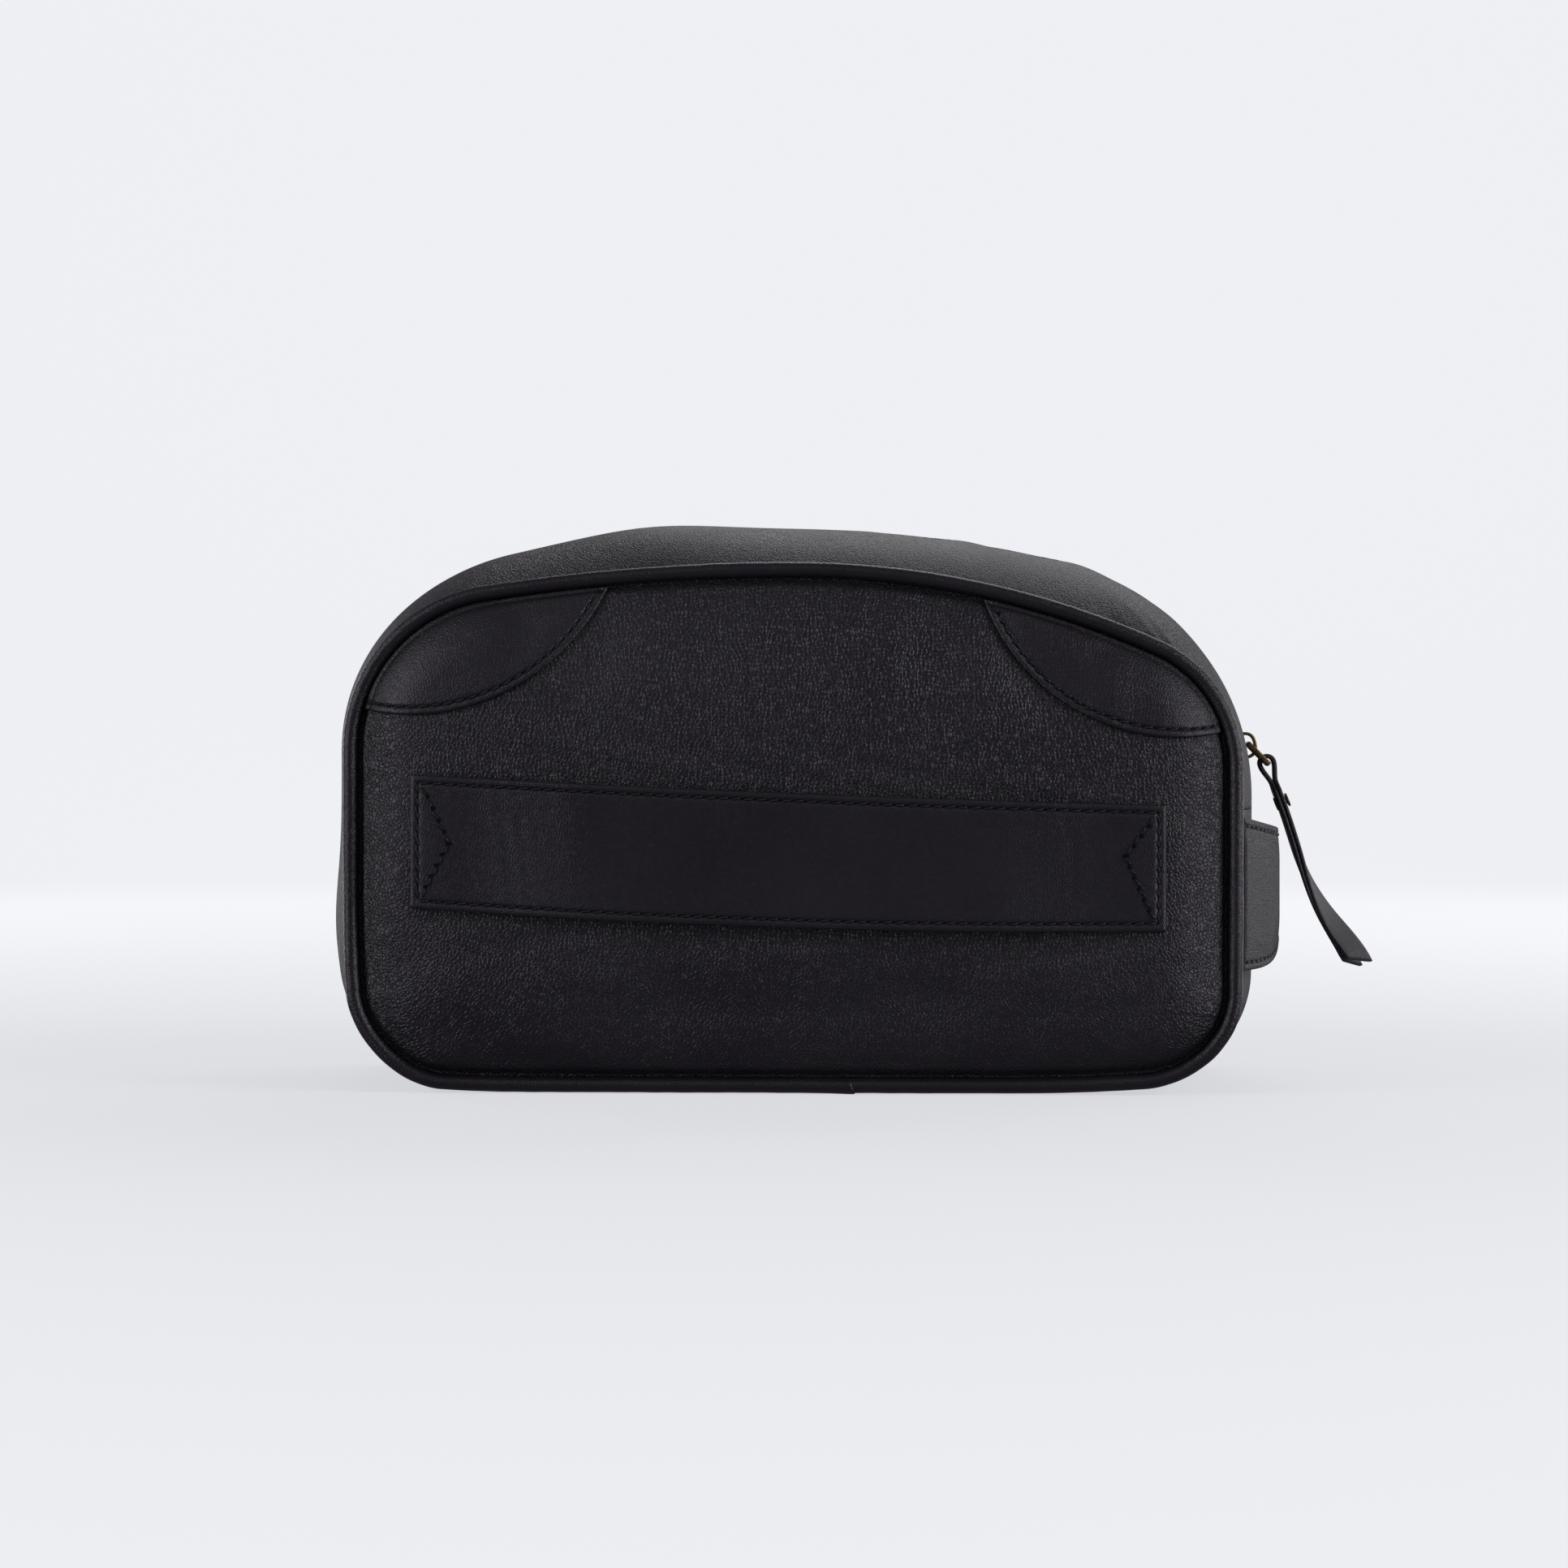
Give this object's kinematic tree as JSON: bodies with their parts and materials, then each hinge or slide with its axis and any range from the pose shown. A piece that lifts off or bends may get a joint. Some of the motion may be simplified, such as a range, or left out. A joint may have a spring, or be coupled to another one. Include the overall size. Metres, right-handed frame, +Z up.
{
  "type": "makeup bag",
  "caption": "Soft black leather wash bag with a D-shaped padded front, piped seams, a zip over the top, a front hand strap and a side grab handle.",
  "frame": {"origin": "middle of the base, on the floor, at mid-depth and mid-width of the seams", "axes": "+X along the width towards the side handle, -Y towards the front with the hand strap, +Z up"},
  "size_m": [0.3191, 0.1312, 0.171],
  "materials": {
    "body": "fine-grained black leather with a low sheen",
    "patch": "fine-grained black leather with a low sheen",
    "piping": "smooth black leather drawn over a cord",
    "strap": "black leather, creased along its edges",
    "handle": "black leather",
    "pull": "black leather with dyed cut edges",
    "lining": "plain woven dark lining",
    "foam": "thin foam, not seen",
    "cord": "twisted cotton cord, not seen",
    "tape": "black woven zip tape",
    "teeth": "polished brass",
    "slider": "antiqued brass"
  },
  "bodies": {
    "bag": {"back_lining": "lining", "back_padding": "foam", "back_panel": "body", "back_piping": "piping", "back_piping_cord": "cord", "base_gusset": "body", "base_lining": "lining", "front_lining": "lining", "front_padding": "foam", "front_panel": "body", "front_piping": "piping", "front_piping_cord": "cord", "hand_strap": "strap", "hand_strap_backing": "strap", "side_handle": "handle", "side_handle_backing": "handle", "zip_end_tapes": "tape", "zip_end_teeth": "teeth", "zip_stops": "teeth"},
    "front_lip": {"front_left_patch": "patch", "front_lining_top": "lining", "front_padding_top": "foam", "front_panel_top": "body", "front_piping_cord_top": "cord", "front_piping_top": "piping", "front_right_patch": "patch", "front_strip_lining": "lining", "front_zip_strip": "body", "front_zip_tape": "tape", "front_zip_teeth": "teeth"},
    "back_lip": {"back_left_patch": "patch", "back_lining_top": "lining", "back_padding_top": "foam", "back_panel_top": "body", "back_piping_cord_top": "cord", "back_piping_top": "piping", "back_right_patch": "patch", "back_strip_lining": "lining", "back_zip_strip": "body", "back_zip_tape": "tape", "back_zip_teeth": "teeth"},
    "slider": {"slider_body": "slider", "slider_bail": "slider"},
    "puller": {"puller": "slider"},
    "pull": {"leather_pull": "pull", "pull_rivet": "slider"}
  },
  "joints": [
    {"name": "front_mouth", "type": "hinge", "parent": "bag", "child": "front_lip", "pos_m": [0, -0.061, 0.1], "axis": [1, 0, 0], "range_deg": [0, 22]},
    {"name": "back_mouth", "type": "hinge", "parent": "bag", "child": "back_lip", "pos_m": [0, 0.061, 0.1], "axis": [-1, 0, 0], "range_deg": [0, 22]},
    {"name": "slider_run", "type": "hinge", "parent": "bag", "child": "slider", "pos_m": [0.0652, 0, 0.08801], "axis": [0, 1, 0], "range_deg": [-58, 0]},
    {"name": "puller_swing", "type": "hinge", "parent": "slider", "child": "puller", "pos_m": [0.14063, 0, 0.10446], "axis": [0, -1, 0], "range_deg": [0, 115]},
    {"name": "pull_swing", "type": "hinge", "parent": "puller", "child": "pull", "pos_m": [0.14629, 0, 0.0988], "axis": [0, -1, 0], "range_deg": [0, 40]}
  ]
}
